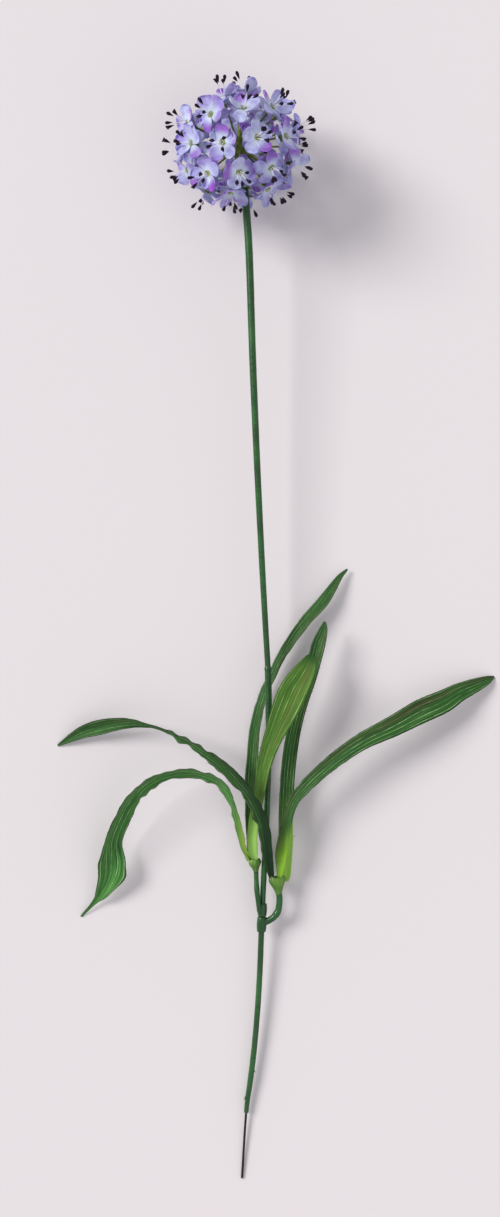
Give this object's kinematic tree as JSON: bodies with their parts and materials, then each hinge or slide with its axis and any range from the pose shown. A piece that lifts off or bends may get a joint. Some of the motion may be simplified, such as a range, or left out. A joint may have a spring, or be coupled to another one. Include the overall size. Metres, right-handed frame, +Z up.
{
  "type": "artificial allium flower stem",
  "caption": "Artificial allium: a globe of lilac fabric florets on a green wired plastic stem with two sprays of strap leaves, lying down.",
  "frame": {"origin": "bottom centre of the whole object's box, on the surface that it lies on", "axes": "+Y along the stem towards the flower head, +X to the right seen from above with the head at the top, +Z up from the surface"},
  "size_m": [0.2904, 0.7204, 0.0915],
  "materials": {
    "petal": "thin printed fabric, pale periwinkle with a whitish middle and some violet petals",
    "stamen": "translucent white filaments dipped in black-purple",
    "hub_plastic": "satin olive green",
    "stem_plastic": "satin dark green",
    "cup_plastic": "satin yellow green",
    "leaf": "printed stiff fabric, dark green with pale veins",
    "pale_leaf": "printed stiff fabric, pale green with a reddish midrib",
    "wire": "dull dark steel"
  },
  "bodies": {
    "root": {"stem_wire": "wire", "lower_stem": "stem_plastic", "upper_stem": "stem_plastic", "left_branch": "stem_plastic", "right_branch": "stem_plastic", "left_leaf_socket": "cup_plastic", "right_leaf_socket": "cup_plastic", "leaf_left_low": "leaf", "leaf_left_arch": "leaf", "leaf_rear_tall": "leaf", "leaf_front_pale": "pale_leaf", "leaf_upright": "leaf", "leaf_right_long": "leaf", "flower_hub": "hub_plastic", "floret_01": "petal", "floret_02": "petal", "floret_03": "petal", "floret_04": "petal", "floret_05": "petal", "floret_06": "petal", "floret_07": "petal", "floret_08": "petal", "floret_09": "petal", "floret_10": "petal", "floret_11": "petal", "floret_12": "petal", "floret_13": "petal", "floret_14": "petal", "floret_15": "petal", "floret_16": "petal", "floret_17": "petal", "floret_18": "petal", "floret_19": "petal", "floret_20": "petal", "floret_21": "petal", "floret_22": "petal", "floret_23": "petal", "floret_24": "petal", "floret_25": "petal", "floret_26": "petal", "floret_27": "petal", "floret_28": "petal", "floret_29": "petal", "floret_30": "petal", "floret_31": "petal", "floret_32": "petal"}
  },
  "joints": []
}
